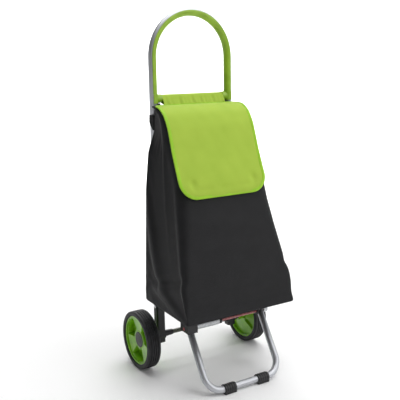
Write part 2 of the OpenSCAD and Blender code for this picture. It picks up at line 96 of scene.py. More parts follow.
# %% Turning about X
def turned(points, angle, origin=(0, 0, 0)):
    """Points turned about the X axis and then moved: y becomes y cos - z sin, and z becomes y sin + z cos."""
    x, y, z = np.moveaxis(np.asarray(points, float), -1, 0)
    c, s = math.cos(angle), math.sin(angle)
    return np.stack([x, c * y - s * z, s * y + c * z], -1) + np.array(origin)


def on_frame(points):
    """From the hoop's own space, with its origin on the axle and Z up the legs, to the row's frame."""
    return turned(points, -LEAN, (0, axle_y, wheel_r))


def leg_y(z):
    """Where a leg's axis stands at height z."""
    return axle_y + (z - wheel_r) * math.tan(LEAN)


# %% [markdown]
# ## Surfaces
# A grid of points becomes a mesh with one quad between each four neighbours. Its UV map is measured along the
# surface in metres, so a weave or a drawn line keeps its true size wherever the surface bends.

# %% Grid to mesh
def spread(grid, wrap):
    """The grid with its first row and column repeated at the end, where it wraps."""
    if wrap[0]:
        grid = np.concatenate([grid, grid[:1]], 0)
    if wrap[1]:
        grid = np.concatenate([grid, grid[:, :1]], 1)
    return grid


def metres_along(points, axis=0):
    """Length run along a line, or an axis of a grid: the sum of the steps between neighbours."""
    steps = np.linalg.norm(np.diff(points, axis=axis), axis=-1)
    return np.insert(np.cumsum(steps, axis), 0, 0, axis)


def sampled(at, run, line):
    """A line's points at given lengths, where run is its length at each of its own points."""
    return np.stack([np.interp(at, run, line[:, k]) for k in range(line.shape[1])], -1)


def unit(vectors):
    """Vectors brought to length 1."""
    return vectors / np.maximum(np.linalg.norm(vectors, axis=-1, keepdims=True), 1e-9)


def joined(arcs, counts):
    """Arcs joined end to start, once round, by straight runs of so many points."""
    parts = []
    for arc, after, count in zip(arcs, arcs[1:] + arcs[:1], counts):
        share = np.linspace(0, 1, count + 2)[1:-1, None]
        parts += [arc, arc[-1] * (1 - share) + after[0] * share]
    return np.concatenate(parts)


def corners_of(table):
    """The four corners of each cell of a table, in order round the cell."""
    return np.stack([table[:-1, :-1], table[:-1, 1:], table[1:, 1:], table[1:, :-1]], 2)


def new_object(name, data):
    """An object with its data, linked into the scene."""
    obj = bpy.data.objects.new(name, data)
    bpy.context.scene.collection.objects.link(obj)
    return obj


def surface(name, grid, wrap=(False, False), keep=None, smooth_angle=40):
    """A mesh object from a grid (rows, columns, 3). keep is a table of the cells to use, if not all."""
    number = np.arange(grid.shape[0] * grid.shape[1]).reshape(grid.shape[:2])
    full = spread(grid, wrap)
    cells = corners_of(spread(number, wrap))
    uv = corners_of(np.stack([metres_along(full, 1), metres_along(full, 0)], -1))
    used = np.ones(cells.shape[:2], bool) if keep is None else keep
    mesh = bpy.data.meshes.new(name)
    mesh.from_pydata(grid.reshape(-1, 3).tolist(), [], cells[used].tolist())
    mesh.uv_layers.new(name="cloth").data.foreach_set("uv", uv[used].astype(np.float32).ravel())
    return finish_mesh(new_object(name, mesh), smooth_angle)


def finish_mesh(obj, smooth_angle=40, fill=False):
    """Merges doubled points, closes open ends if asked, turns the faces outwards and smooths the shading."""
    work = bmesh.new()
    work.from_mesh(obj.data)
    bmesh.ops.remove_doubles(work, verts=work.verts, dist=1e-6)
    loose = [v for v in work.verts if not v.link_faces]
    bmesh.ops.delete(work, geom=loose, context="VERTS")
    if fill:
        bmesh.ops.holes_fill(work, edges=work.edges, sides=0)
    bmesh.ops.recalc_face_normals(work, faces=work.faces)
    work.to_mesh(obj.data)
    work.free()
    obj.data.shade_smooth()
    obj.data.set_sharp_from_angle(angle=math.radians(smooth_angle))
    return obj


def read_array(items, key, width=3):
    """One attribute of a mesh's points or faces, as an array with a row for each."""
    values = np.empty(len(items) * width)
    items.foreach_get(key, values)
    return values.reshape(-1, width)


def face_away(obj, centre):
    """Turns an open sheet so that, by area, its faces look away from a point."""
    faces = obj.data.polygons
    away = ((read_array(faces, "center") - np.array(centre)) * read_array(faces, "normal")).sum(1)
    if (away * read_array(faces, "area", 1)[:, 0]).sum() < 0:
        obj.data.flip_normals()
    return obj


# %% Sections and paths
def round_angles(count):
    """Equal angles once round."""
    return np.arange(count) * 2 * np.pi / count


def circle(radius, count=48):
    """A ring of points: radius times the cosine and sine of equal angles."""
    a = round_angles(count)
    return radius * np.stack([np.cos(a), np.sin(a)], -1)


def u_line(half_w, foot, top, r, steps=28):
    """A U bent in its own plane: points (across, up) and their unit directions. Up one leg, a quarter turn of
    radius r, across, a quarter turn, and down the other leg."""
    turn = np.linspace(0, np.pi / 2, steps)
    left = np.stack([r - half_w - r * np.cos(turn), top - r + r * np.sin(turn)], -1)
    ahead = np.stack([np.sin(turn), np.cos(turn)], -1)
    right, after = left[::-1] * [-1, 1], ahead[::-1] * [1, -1]
    skip = 1 if abs(r - half_w) < 1e-9 else 0
    points = np.concatenate([[[-half_w, foot]], left, right[skip:], [[half_w, foot]]])
    directions = np.concatenate([[[0, 1]], ahead, after[skip:], [[0, -1]]])
    return points, directions


def swept(points, directions, section):
    """A section carried along a line in the XZ plane. Each point is the line's point, plus the section's first
    number to the line's left and its second along Y."""
    left = np.stack([-directions[:, 1], np.zeros(len(directions)), directions[:, 0]], -1)
    line = np.stack([points[:, 0], np.zeros(len(points)), points[:, 1]], -1)
    return line[:, None] + section[None, :, :1] * left[:, None] + section[None, :, 1:] * np.array([0, 1, 0])


def turned_shape(profile, count=96):
    """A profile of points (along X, radius) turned round the X axis, as a grid (profile, angle)."""
    a = round_angles(count)
    x, r = profile[:, :1], profile[:, 1:]
    return np.stack([x + 0 * a, r * np.sin(a), r * np.cos(a)], -1)


def add_modifier(obj, kind, **settings):
    """A modifier with its settings."""
    modifier = obj.modifiers.new(kind.title(), kind)
    for key, value in settings.items():
        setattr(modifier, key, value)
    return obj


def wall(obj, thickness):
    """Gives a sheet its thickness, inwards from the drawn face."""
    return add_modifier(obj, "SOLIDIFY", thickness=thickness, offset=-1, use_even_offset=True)


# %% [markdown]
# ## Materials
# Each finish starts from the real stuff: its colour, roughness and reflectance, and the mark that its making
# leaves, such as drawn lines on tube, spark grain on a moulding or over-and-under threads on cloth. A pattern's
# scale is a size in millimetres.

# %% Colour and nodes
def linear(hex_colour):
    """sRGB to linear: a channel c is c / 12.92 up to 0.04045, and ((c + 0.055) / 1.055) to the 2.4 above it."""
    c = np.array([int(hex_colour[i:i + 2], 16) / 255 for i in (1, 3, 5)])
    return (*np.where(c <= 0.04045, c / 12.92, ((c + 0.055) / 1.055) ** 2.4).tolist(), 1.0)


def add(tree, kind, settings, links=()):
    """A node with its settings, by property or socket name, and its links, as (socket, node, output)."""
    node = tree.nodes.new("ShaderNode" + kind)
    for key, value in settings.items():
        if isinstance(key, int) or key in node.inputs:
            node.inputs[key].default_value = value
        else:
            setattr(node, key, value)
    for socket, source, output in links:
        tree.links.new(source.outputs[output], node.inputs[socket])
    return node


def start(name, settings):
    """A new material with its node tree, its shader with constant settings, and its coordinates."""
    material = bpy.data.materials.new(name)
    material.use_nodes = True
    shader = material.node_tree.nodes["Principled BSDF"]
    for key, value in settings.items():
        shader.inputs[key].default_value = value
    return material, material.node_tree, shader, add(material.node_tree, "TexCoord", {})


def noise(tree, place, size, detail):
    """Noise of a real size, by the piece's own place."""
    return add(tree, "TexNoise", {"Scale": 1 / size, "Detail": detail}, [("Vector", place, "Object")])


def shade_between(tree, shader, source, output, dark, light, low=0.35, high=0.65):
    """Colours the shader from a dark to a light shade as a pattern's value goes from low to high."""
    ramp = add(tree, "ValToRGB", {}, [("Fac", source, output)])
    ramp.color_ramp.elements[0].position, ramp.color_ramp.elements[1].position = low, high
    ramp.color_ramp.elements[0].color, ramp.color_ramp.elements[1].color = linear(dark), linear(light)
    tree.links.new(ramp.outputs["Color"], shader.inputs["Base Color"])
    return ramp


def vary_roughness(tree, shader, source, output, low, high):
    """Runs the shader's roughness from low to high with a pattern's value."""
    span = add(tree, "MapRange", {"To Min": low, "To Max": high}, [("Value", source, output)])
    tree.links.new(span.outputs["Result"], shader.inputs["Roughness"])


# %% Moulded plastics and rubber
def moulded(name, dark, light, roughness, grain, cloud=30 * mm, coat=0.0):
    """Injection moulding: faint flow clouds in the colour and the fine spark grain of the tool."""
    material, tree, shader, place = start(name, {"IOR": 1.5, "Coat Weight": coat, "Coat Roughness": 0.12})
    shade_between(tree, shader, noise(tree, place, cloud, 3.0), "Fac", dark, light)
    tool = noise(tree, place, grain, 2.0)
    vary_roughness(tree, shader, tool, "Fac", roughness - 0.06, roughness + 0.06)
    bump = add(tree, "Bump", {"Strength": 0.25, "Distance": grain / 12}, [("Height", tool, "Fac")])
    tree.links.new(bump.outputs["Normal"], shader.inputs["Normal"])
    return material


finishes = {
    # Polypropylene takes a clean, bright, half-gloss green
    "green_plastic": moulded("moulded_green_polypropylene", "#86aa1c", "#94b92c", 0.34, 0.9 * mm, coat=0.15),
    # Glass-filled nylon comes out charcoal with a dull even grain
    "black_plastic": moulded("moulded_black_nylon", "#121214", "#1d1d20", 0.42, 0.7 * mm),
    "grey_nylon": moulded("moulded_grey_acetal", "#a9abad", "#bdbfc1", 0.38, 0.8 * mm),
    # Solid rubber is matt, with a dusty bloom in soft clouds
    "tyre_rubber": moulded("moulded_black_rubber", "#101012", "#222226", 0.58, 1.2 * mm, cloud=14 * mm)}
# The wheels are a stronger green than the handle
hub_plastic = moulded("moulded_wheel_polypropylene", "#6fae0e", "#84c01c", 0.30, 0.9 * mm, coat=0.25)


# %% Metals
def drawn_metal(name, dark, light, roughness):
    """Drawn tube or rod: long faint lines along the piece, half a millimetre apart and 60 mm long."""
    material, tree, shader, place = start(name, {"Metallic": 0.8})
    stretch = add(tree, "Mapping", {"Scale": (1 / (0.5 * mm), 1 / (60 * mm), 1.0)}, [("Vector", place, "UV")])
    lines = add(tree, "TexNoise", {"Scale": 1.0, "Detail": 4.0}, [("Vector", stretch, "Vector")])
    shade_between(tree, shader, lines, "Fac", dark, light, 0.3, 0.7)
    vary_roughness(tree, shader, lines, "Fac", roughness - 0.05, roughness + 0.08)
    return material


def plated_metal(name, dark, light, roughness, settings):
    """Plated or painted steel: cloudy patches a few millimetres wide, by the piece's own place."""
    material, tree, shader, place = start(name, settings)
    clouds = noise(tree, place, 6 * mm, 5.0)
    shade_between(tree, shader, clouds, "Fac", dark, light)
    vary_roughness(tree, shader, clouds, "Fac", roughness - 0.06, roughness + 0.1)
    return material


finishes.update(
    # Satin anodising keeps aluminium pale and spreads its highlight along the tube
    aluminium=drawn_metal("anodised_drawn_aluminium", "#b0b2b7", "#d2d4d8", 0.42),
    grey_aluminium=plated_metal("satin_aluminium_sleeve", "#b4b6b9", "#cfd1d3", 0.40, {"Metallic": 0.75}),
    zinc_steel=plated_metal("zinc_plated_steel", "#4c4e46", "#6b6d62", 0.42, {"Metallic": 1.0}),
    rivet_steel=plated_metal("bright_steel_rivet", "#b6b8ba", "#d6d8da", 0.25, {"Metallic": 1.0}),
    red_steel=plated_metal("red_lacquered_steel_rod", "#8e3f3f", "#b9696a", 0.3, {"Coat Weight": 0.6}),
    board=plated_metal("pressed_hardboard", "#1e1c1a", "#2c2926", 0.7, {}))


# %% Woven cloth
def woven(name, dark, light, thread, roughness, sheen):
    """Plain weave: the height is the sine across times the sine along, so threads pass over and under. The
    real thread is about 0.5 mm, and the pattern is drawn coarser, so that it shows at all."""
    material, tree, shader, place = start(name, {"Sheen Weight": sheen, "Sheen Roughness": 0.4, "IOR": 1.48,
                                                   "Specular IOR Level": 0.3})
    threads = add(tree, "VectorMath", {"operation": "SCALE", "Scale": math.pi / thread}, [(0, place, "UV")])
    waves = add(tree, "VectorMath", {"operation": "SINE"}, [(0, threads, "Vector")])
    parts = add(tree, "SeparateXYZ", {}, [(0, waves, "Vector")])
    weave = add(tree, "Math", {"operation": "MULTIPLY"}, [(0, parts, "X"), (1, parts, "Y")])
    soil = noise(tree, place, 45 * mm, 6.0)
    # Colour: random soil clouds 45 mm wide, plus painted shade from the weave. Its low points, where a thread
    # passes under, are a shade darker.
    soil_and_weave_shade = add(tree, "Math", {"operation": "MULTIPLY_ADD", 1: 0.06}, [(0, weave, "Value"), (2, soil, "Fac")])
    shade_between(tree, shader, soil_and_weave_shade, "Value", dark, light, 0.25, 0.75)
    vary_roughness(tree, shader, soil_and_weave_shade, "Value", roughness - 0.08, roughness + 0.08)
    bump = add(tree, "Bump", {"Strength": 0.5, "Distance": thread / 6}, [("Height", weave, "Value")])
    tree.links.new(bump.outputs["Normal"], shader.inputs["Normal"])
    return material


finishes.update(
    black_fabric=woven("woven_black_polyester", "#151517", "#1f1f21", 1.6 * mm, 0.66, 0.03),
    green_fabric=woven("woven_light_green_polyester", "#a2bf3c", "#aac544", 1.6 * mm, 0.66, 0.1),
    green_binding=woven("woven_green_binding_tape", "#94c626", "#a6d634", 1.1 * mm, 0.5, 0.1))
thread_green = plated_metal("spun_green_thread", "#7fae1c", "#93c42a", 0.6, {})
slot_of = {row["node"]: row["material_slot"] for row in frame["record"]["subparts"]}
for node, obj in frame["nodes"].items():
    obj.data.materials.clear()
    obj.data.materials.append(finishes[slot_of[node]])
print("nodes given a finish:", len(slot_of))


# %% Handing a piece over
def hand_over(obj, body, slot, replaced=(), material=None):
    """Gives a piece its finish, sets the body that it rides on, if any, and hides the nodes it stands for."""
    obj.data.materials.clear()
    obj.data.materials.append(material or finishes[slot])
    if body:
        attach(obj, body)
    if replaced:
        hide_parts(*replaced)
    return obj


# %% [markdown]
# ## Small mouldings and hardware
# Sockets, blocks, hooks and rings are right in the design, but a moulded edge is never sharp. Each node is
# copied, its triangles are merged into flat faces, and a bevel rounds the edges: the thin highlight along an
# edge tells the eye that it is a real part.

# %% Rounded copies
def rounded_copy(node, edge, body="frame"):
    """A copy of a node with its coplanar triangles joined and its edges rounded by a bevel."""
    obj = new_object(node + "_piece", frame["nodes"][node].data.copy())
    work = bmesh.new()
    work.from_mesh(obj.data)
    bmesh.ops.remove_doubles(work, verts=work.verts, dist=2e-6)
    bmesh.ops.dissolve_limit(work, angle_limit=math.radians(0.5), verts=work.verts, edges=work.edges)
    work.to_mesh(obj.data)
    work.free()
    obj.data.shade_smooth()
    obj.data.set_sharp_from_angle(angle=math.radians(35))
    add_modifier(obj, "BEVEL", width=edge, segments=2, limit_method="ANGLE",
                 angle_limit=math.radians(40), use_clamp_overlap=True, harden_normals=False)
    return hand_over(obj, body, slot_of[node], [node])


edges = {"crossbar_clip_left": 1.2, "crossbar_clip_right": 1.2, "bag_hook_left": 0.8, "bag_hook_right": 0.8,
         "leg_socket_left": 1.0, "leg_socket_right": 1.0, "socket_pins": 0.4, "axle_collars": 0.8,
         "axle_spacers": 0.6, "joint_block_left": 1.0, "joint_block_right": 1.0, "block_rivets": 0.4,
         "rod_stop": 0.8, "rod_end_cap": 0.3, "rod_sleeve": 2.5, "platform_rails": 0.8, "wheel_retainers": 0.3,
         "base_board": 0.8}
for node, edge in edges.items():
    rounded_copy(node, edge * mm)
rounded_copy("stand_plugs", 0.8 * mm, "stand")
print("rounded copies:", len(edges) + 1)

# %% [markdown]
# ## Hoop handle and grip liner
# One aluminium tube is bent into an inverted U: a circle carried along the U's centre line, with a wall. The
# green liner is a C-shaped extrusion snapped on the inner side of the arch, so it is the same sweep with a C
# for its section, whose lips are rounded.

# %% Handle tube
tube_wall = 1.5 * mm
arch_top = (frame_top - wheel_r - tube_r) / math.cos(LEAN)
hoop = u_line(arch_r, 6 * mm, arch_top, arch_r, steps=40)
handle = surface("handle_tube_bent", on_frame(swept(*hoop, circle(tube_r))), wrap=(False, True))
face_away(handle, on_frame([0, 0, arch_top - arch_r]))
hand_over(wall(handle, tube_wall), "frame", "aluminium", ["handle_tube"])


# %% Grip liner
def c_section(inner, outer, half_angle, count=30):
    """A C that opens to the left: an outer arc, a rounded lip, the inner arc back, and the other lip."""
    arc = np.linspace(-half_angle, half_angle, count)
    lip = np.linspace(0, np.pi, 7)[1:-1]
    mean, thick = (inner + outer) / 2, (outer - inner) / 2

    def ring(radius, angle):
        return np.stack([-radius * np.cos(angle), radius * np.sin(angle)], -1)

    over = ring(mean + thick * np.cos(lip), half_angle + thick * np.sin(lip) / mean)
    under = ring(mean - thick * np.cos(lip), -half_angle - thick * np.sin(lip) / mean)
    return np.concatenate([ring(outer, arc), over, ring(inner, arc[::-1]), under])


liner_low = (box("grip_liner")[0][2] - wheel_r) / math.cos(LEAN)
liner_line = u_line(arch_r, liner_low, arch_top, arch_r, steps=40)
snap_gap, liner_wall, half_wrap = 0.1 * mm, 1.6 * mm, math.radians(107)
section = c_section(tube_r + snap_gap, tube_r + snap_gap + liner_wall, half_wrap) * [1, -1]
liner = surface("grip_liner_c_section", on_frame(swept(*liner_line, section)), wrap=(False, True))
hand_over(finish_mesh(liner, 40, fill=True), "frame", "green_plastic", ["grip_liner"])
print("liner section points:", len(section))

# %% [markdown]
# ## Stand
# The stand is the same kind of bent tube, with its ground bar in front and its leg tops on the pivot rod. Two
# ribbed clips grip the ground bar. A clip is a row of ribs turned round the bar, with a flat sole below.

# %% Stand tube
stand_r = 9 * mm
ground_z = box("foot_clip_left")[1][2] / 2
ground_y = box("foot_clip_left")[0][1] + ground_z
tilt = math.atan2(pivot_y - ground_y, pivot_z - ground_z)
leg_length = math.hypot(pivot_y - ground_y, pivot_z - ground_z)
stand_half_w = box("stand_tube")[1][0] - stand_r
points, directions = u_line(stand_half_w, -12 * mm, leg_length, 44 * mm)
loop = swept(points * [1, -1], directions * [1, -1], circle(stand_r))
stand = surface("stand_tube_bent", turned(loop, -tilt, (0, pivot_y, pivot_z)), wrap=(False, True))
face_away(stand, (0, (pivot_y + ground_y) / 2, (pivot_z + ground_z) / 2))
hand_over(wall(stand, tube_wall), "stand", "aluminium", ["stand_tube"])
print("stand leg, mm:", round(leg_length / mm, 1), " tilt, degrees:", round(math.degrees(tilt), 1))


# %% Foot clips
def foot_clip(node):
    """Ribs along X are a raised cosine of 7 mm pitch. Below, the radius grows to a flat sole: it is the smaller
    of the sole's depth over the cosine and its half width over the sine of the angle from straight down."""
    low, high = box(node)
    half_l, outer = (high[0] - low[0]) / 2, (high[2] - low[2]) / 2
    x = np.linspace(-half_l, half_l, 71)
    a = round_angles(96)
    pitch, depth, edge, sole_half = 7 * mm, 1.0 * mm, 1.2 * mm, 10.5 * mm
    rib = np.clip(0.5 + 1.6 * np.cos(2 * np.pi * (x + half_l - pitch / 4) / pitch), 0, 1)
    end = np.clip((half_l - np.abs(x)) / edge, 0, 1)
    radius = outer - depth + depth * rib - depth * (1 - np.sqrt(1 - (1 - end) ** 2))
    down, side = np.maximum(-np.cos(a), 1e-3), np.maximum(np.abs(np.sin(a)), 1e-3)
    sole = np.minimum(outer / down, sole_half / side) - 0.5 * mm * (1 - end[:, None])
    r = np.maximum(radius[:, None], np.where(-np.cos(a) > 0.55, sole, 0))
    skin = np.stack([x[:, None] + 0 * a, r * np.sin(a), r * np.cos(a)], -1)
    bore = turned_shape(np.stack([x[[-1, 0]], np.full(2, stand_r + 0.02 * mm)], -1))
    grid = np.concatenate([skin, bore]) + np.array([(low[0] + high[0]) / 2, ground_y, ground_z])
    clip = surface(node + "_ribbed", grid, wrap=(True, True), smooth_angle=30)
    return hand_over(clip, "stand", "black_plastic", [node])


for node in ("foot_clip_left", "foot_clip_right"):
    foot_clip(node)

# %% [markdown]
# ## Wheels
# A solid rubber tyre sits on a one-piece moulded hub. The tyre is a profile turned round the axle: rounded
# shoulders, a bead beside the rim, and four grooves round the tread. The hub is not round all the way, because
# three pockets are sunk between its spokes. So it is one closed grid of profile by angle, and inside a pocket
# the face is pushed in by a smooth step in radius times a smooth step in angle.

# %% Steps and bells
def step(value, edge, width):
    """A smooth step from 0 to 1, centred on an edge: 3 t squared less 2 t cubed over the given width."""
    t = np.clip((value - edge) / width + 0.5, 0, 1)
    return t * t * (3 - 2 * t)


def bell(value, width):
    """A bell of height 1 at 0 that has fallen to 0.37 one width away."""
    return np.exp(-(value / width) ** 2)


# %% Wheel sizes
track = box("tyre_right")[1][0]
tyre_in = box("tyre_right")[0][0]
rim_r = 67 * mm
boss_in, rim_out = box("wheel_hub_right")[0][0], box("wheel_hub_right")[1][0]
rim_in = tyre_in + 3.5 * mm
face_x = track - 12.5 * mm            # outer face of the spokes
pocket_x = face_x - 13 * mm           # floor of the pockets
web_x = pocket_x - 6 * mm             # inner face of the disc
cap_r = box("hub_cap_right")[1][2] - wheel_r


# %% Tyre
def tyre_profile():
    """The tyre's outline as points (along X, radius), from the rim out over the tread and back."""
    width, shoulder = track - tyre_in, 4.2 * mm
    groove_pitch, groove_half, groove_depth = 6.6 * mm, 1.3 * mm, 2.2 * mm
    turn = np.linspace(0, np.pi / 2, 9)
    x = np.linspace(tyre_in + shoulder, track - shoulder, 81)[1:-1]
    centres = tyre_in + width / 2 + np.arange(-1.5, 2, 1) * groove_pitch
    groove = (1 - step(np.abs(x[:, None] - centres), groove_half, 0.9 * mm)).max(1)
    crown = 0.5 * mm * ((x - (track + tyre_in) / 2) / (width / 2)) ** 2
    tread = np.stack([x, wheel_r - groove_depth * groove - crown], -1)
    rise = np.stack([tyre_in + shoulder - shoulder * np.cos(turn),
                     wheel_r - crown[0] - shoulder + shoulder * np.sin(turn)], -1)
    fall = (rise * [-1, 1] + [tyre_in + track, 0])[::-1]
    bead = np.array([[track, wheel_r - 9 * mm], [track - 0.8 * mm, wheel_r - 9.8 * mm],
                     [track - 0.5 * mm, rim_r + 1.4 * mm], [track - 1.6 * mm, rim_r]])
    inner = (bead * [-1, 1] + [tyre_in + track, 0])[::-1]
    return np.concatenate([inner, rise, tread, fall, bead])


# %% Hub
def hub_grid(count=288):
    """Profile from the bore out over the outer face to the rim and back over the inner face, by the angle
    from straight up."""
    bore, seat, boss, inside = 8.55 * mm, cap_r + 0.1 * mm, 25.5 * mm, rim_r - 5 * mm
    neck, edge = 13.55 * mm, 0.6 * mm     # the boss behind the disc, and its rounded edge
    rib_depth, rib_half = 7 * mm, 2.6 * mm
    outer_r = np.linspace(boss, inside, 44)
    cone = face_x + 5 * mm * (outer_r - boss) / (inside - boss)
    inner_r = outer_r[::-1]
    back = web_x + 4 * mm * (inner_r - boss) / (inside - boss)
    lip = 0.7 * mm
    before = np.array([[face_x - 5 * mm, bore], [face_x - 5 * mm, seat], [face_x + lip - 0.4 * mm, seat],
                       [face_x + lip, seat + 0.4 * mm], [face_x + lip, boss - 0.9 * mm],
                       [face_x + lip * 0.6, boss - 0.4 * mm]])
    rim = np.array([[rim_out - 0.9 * mm, inside], [rim_out - 0.2 * mm, inside + 0.4 * mm],
                    [rim_out, inside + 1.0 * mm], [rim_out, rim_r - 0.8 * mm], [rim_out - 0.8 * mm, rim_r],
                    [rim_in + 0.8 * mm, rim_r], [rim_in, rim_r - 0.8 * mm], [rim_in, inside + 0.8 * mm],
                    [rim_in + 0.8 * mm, inside]])
    after = np.array([[web_x, neck], [boss_in + edge, neck], [boss_in, neck - edge], [boss_in, bore]])
    outline = np.concatenate([before, np.stack([cone, outer_r], -1), rim, np.stack([back, inner_r], -1), after])
    grid = turned_shape(outline, count)
    from_down = np.mod(round_angles(count) + np.pi, 2 * np.pi)     # one pocket is straight down
    off_pocket = np.abs(np.mod(from_down + np.pi / 3, 2 * np.pi / 3) - np.pi / 3)

    def window(r, half_angle, inset, soft):
        """1 inside a pocket and 0 outside: steps in radius times a step in the distance to its sides."""
        radial = step(r, boss + inset, soft) * (1 - step(r, inside - inset, soft))
        aside = (math.radians(half_angle) - off_pocket[None, :]) * r[:, None]
        return radial[:, None] * step(aside, 0, soft)

    first = len(before)
    hollow = window(outer_r, 32, 3.2 * mm, 2.2 * mm)
    floor = pocket_x + 1.5 * mm * np.cos(3 * off_pocket)[None, :]
    grid[first:first + len(outer_r), :, 0] += hollow * (floor - cone[:, None])
    second = first + len(outer_r) + len(rim)
    rib = 1 - step(np.abs(math.pi / 3 - off_pocket)[None, :] * inner_r[:, None], rib_half, 1.6 * mm)
    rib = rib * step(inner_r, 15 * mm, 2 * mm)[:, None] * (1 - step(inner_r, inside - 1 * mm, 2 * mm))[:, None]
    grid[second:second + len(inner_r), :, 0] -= rib * rib_depth
    print("hub grid:", grid.shape[:2])
    return grid


def cap_grid():
    """A shallow domed cap with a rounded edge and a ring round its middle, from its centre to its skirt."""
    edge_r, wall_r = 1.2 * mm, cap_r - 2.5 * mm
    r = np.linspace(0, cap_r - edge_r, 22)
    dome = face_x + 2.6 * mm - 1.0 * mm * (r / cap_r) ** 2 - 0.5 * mm * bell(r - 13 * mm, 1 * mm)
    turn = np.linspace(0, np.pi / 2, 6)[1:]
    round_x, round_r = dome[-1] - edge_r * (1 - np.cos(turn)), r[-1] + edge_r * np.sin(turn)
    skirt = np.array([[face_x - 5 * mm, cap_r], [face_x - 5 * mm, wall_r], [face_x - 1 * mm, wall_r],
                      [face_x - 1 * mm, 0]])
    outline = np.concatenate([np.stack([dome, r], -1), np.stack([round_x, round_r], -1), skirt])
    return turned_shape(outline, 72)


def bush_grid():
    """A plain tube in the hub's bore, with chamfered ends."""
    inner, outer, x0, x1, c = 6.05 * mm, 8.5 * mm, boss_in, face_x - 5.2 * mm, 0.5 * mm
    return turned_shape(np.array([[x0, inner], [x0, outer - c], [x0 + c, outer], [x1 - c, outer],
                                  [x1, outer - c], [x1, inner]]), 48)


# %% Both wheels
tyre_shape, hub_shape, cap_shape, bush_shape = (turned_shape(tyre_profile(), 160), hub_grid(), cap_grid(),
                                                bush_grid())
for side, sign in SIDES:
    for node, shape, slot, angle, rows_wrap in (("tyre", tyre_shape, "tyre_rubber", 30, True),
                                                ("wheel_hub", hub_shape, "green_plastic", 28, True),
                                                ("hub_cap", cap_shape, "black_plastic", 30, False),
                                                ("hub_bush", bush_shape, "grey_nylon", 30, True)):
        placed = shape * [sign, 1, 1] + [0, axle_y, wheel_r]
        piece = surface(f"{node}_{side}_turned", placed, wrap=(rows_wrap, True), smooth_angle=angle)
        finish = hub_plastic if node == "wheel_hub" else None
        hand_over(piece, "wheel_" + side, slot, [f"{node}_{side}"], finish)

# %% Rods
def rod(node, name, radius):
    """A rod along X with small chamfered ends, in place of a node."""
    low, high = box(node)
    y, z = (low[1] + high[1]) / 2, (low[2] + high[2]) / 2
    c = 0.8 * mm
    outline = np.array([[low[0], 0], [low[0], radius - c], [low[0] + c, radius], [high[0] - c, radius],
                        [high[0], radius - c], [high[0], 0]])
    piece = surface(name, turned_shape(outline, 40) + [0, y, z], wrap=(False, True), smooth_angle=30)
    return hand_over(piece, "frame", slot_of[node], [node])


rod("axle", "axle_rod", 6 * mm)
rod("pivot_rod", "pivot_rod_lacquered", 4 * mm)
rod("crossbar", "crossbar_rod", 8 * mm)

# %% [markdown]
# ## The lid's surface
# The lid is one stiffened cloth panel: it leaves its seam almost level, rolls over the bag's mouth and hangs
# in front. Seen from the side it is a curve, and across the cart it is straight, so a place on it needs only
# x and the length s along the curve. Every cloth piece of the lid is drawn in those two numbers.

# %% Lid curve
lid_low, lid_high = box("lid_panel", "lid_binding")
lid_half_w, lid_top = lid_high[0], lid_high[2]
side_line = np.array([[2, 0], [-35, -2], [-62, -19], [-84, -50], [-112, -114], [-133, -156], [-150, -191],
                      [-161, -222]]) * mm + [axle_y, lid_top]


def smooth_line(line, reach, count):
    """A polyline rounded by averaging each of its dense points over a window of the given reach, and then
    sampled at equal lengths."""
    run = metres_along(line)
    fine = np.linspace(-reach, run[-1] + reach, 1200)
    dense = (sampled(fine, run, line) + unit(line[1] - line[0]) * np.minimum(fine, 0)[:, None]
             + unit(line[-1] - line[-2]) * np.maximum(fine - run[-1], 0)[:, None])
    half = int(reach / (fine[1] - fine[0]))
    kernel = np.hanning(2 * half + 3)[1:-1]
    kernel = kernel / kernel.sum()
    mean = np.stack([np.convolve(dense[:, k], kernel, "valid") for k in (0, 1)], -1)
    mean_run = metres_along(mean)
    return sampled(np.linspace(0, mean_run[-1], count), mean_run, mean), mean_run[-1]


lid_line, lid_length = smooth_line(side_line, 22 * mm, 400)
askew = 5 * mm      # the cloth's lower half hangs this far to the left
print("lid length along its curve, mm:", round(lid_length / mm, 1))


def lid_point(x, s, height):
    """A point of the lid: along the curve by s, across by x, and off its outer face by height."""
    at = np.clip(s / lid_length, 0, 1) * (len(lid_line) - 1)
    index = np.arange(len(lid_line))
    y, z = np.moveaxis(sampled(at, index, lid_line), -1, 0)
    ty, tz = np.moveaxis(sampled(at, index, unit(np.gradient(lid_line, axis=0))), -1, 0)
    over = s - np.clip(s, 0, lid_length)
    x = x - askew * step(s, 0.5 * lid_length, 0.7 * lid_length)
    return np.stack([x + 0 * y, y + height * tz + over * ty, z - height * ty + over * tz], -1)


# %% Lid outline
corner_low, corner_high = 48 * mm, 27 * mm


def lid_half_width(s, inset):
    """Half the lid's width at length s: full in the middle, and less by a circle's bow in each corner."""
    low_r, high_r = corner_low - inset, corner_high - inset
    into_low = np.clip((s - (lid_length - corner_low)) / low_r, 0, 1)
    into_high = np.clip((corner_high - s) / high_r, 0, 1)
    return (lid_half_w - inset - low_r * (1 - np.sqrt(1 - into_low ** 2))
            - high_r * (1 - np.sqrt(1 - into_high ** 2)))


def lid_outline(inset, side_count=88, corner_count=16, end_count=58):
    """The rounded outline inset from the edge, as x, s and the direction (x, s) that points out of it."""
    def corner(cx, cs, r, a0):
        a = a0 + np.linspace(0, np.pi / 2, corner_count)
        return np.stack([cx + r * np.cos(a), cs + r * np.sin(a), np.cos(a), np.sin(a)], -1)

    low_r, high_r = corner_low - inset, corner_high - inset
    x_low, x_high = lid_half_w - corner_low, lid_half_w - corner_high
    s_low, s_high = lid_length - corner_low, corner_high
    arcs = [corner(x_low, s_low, low_r, 0), corner(-x_low, s_low, low_r, np.pi / 2),
            corner(-x_high, s_high, high_r, np.pi), corner(x_high, s_high, high_r, 1.5 * np.pi)]
    return joined(arcs, (end_count, side_count, end_count, side_count))


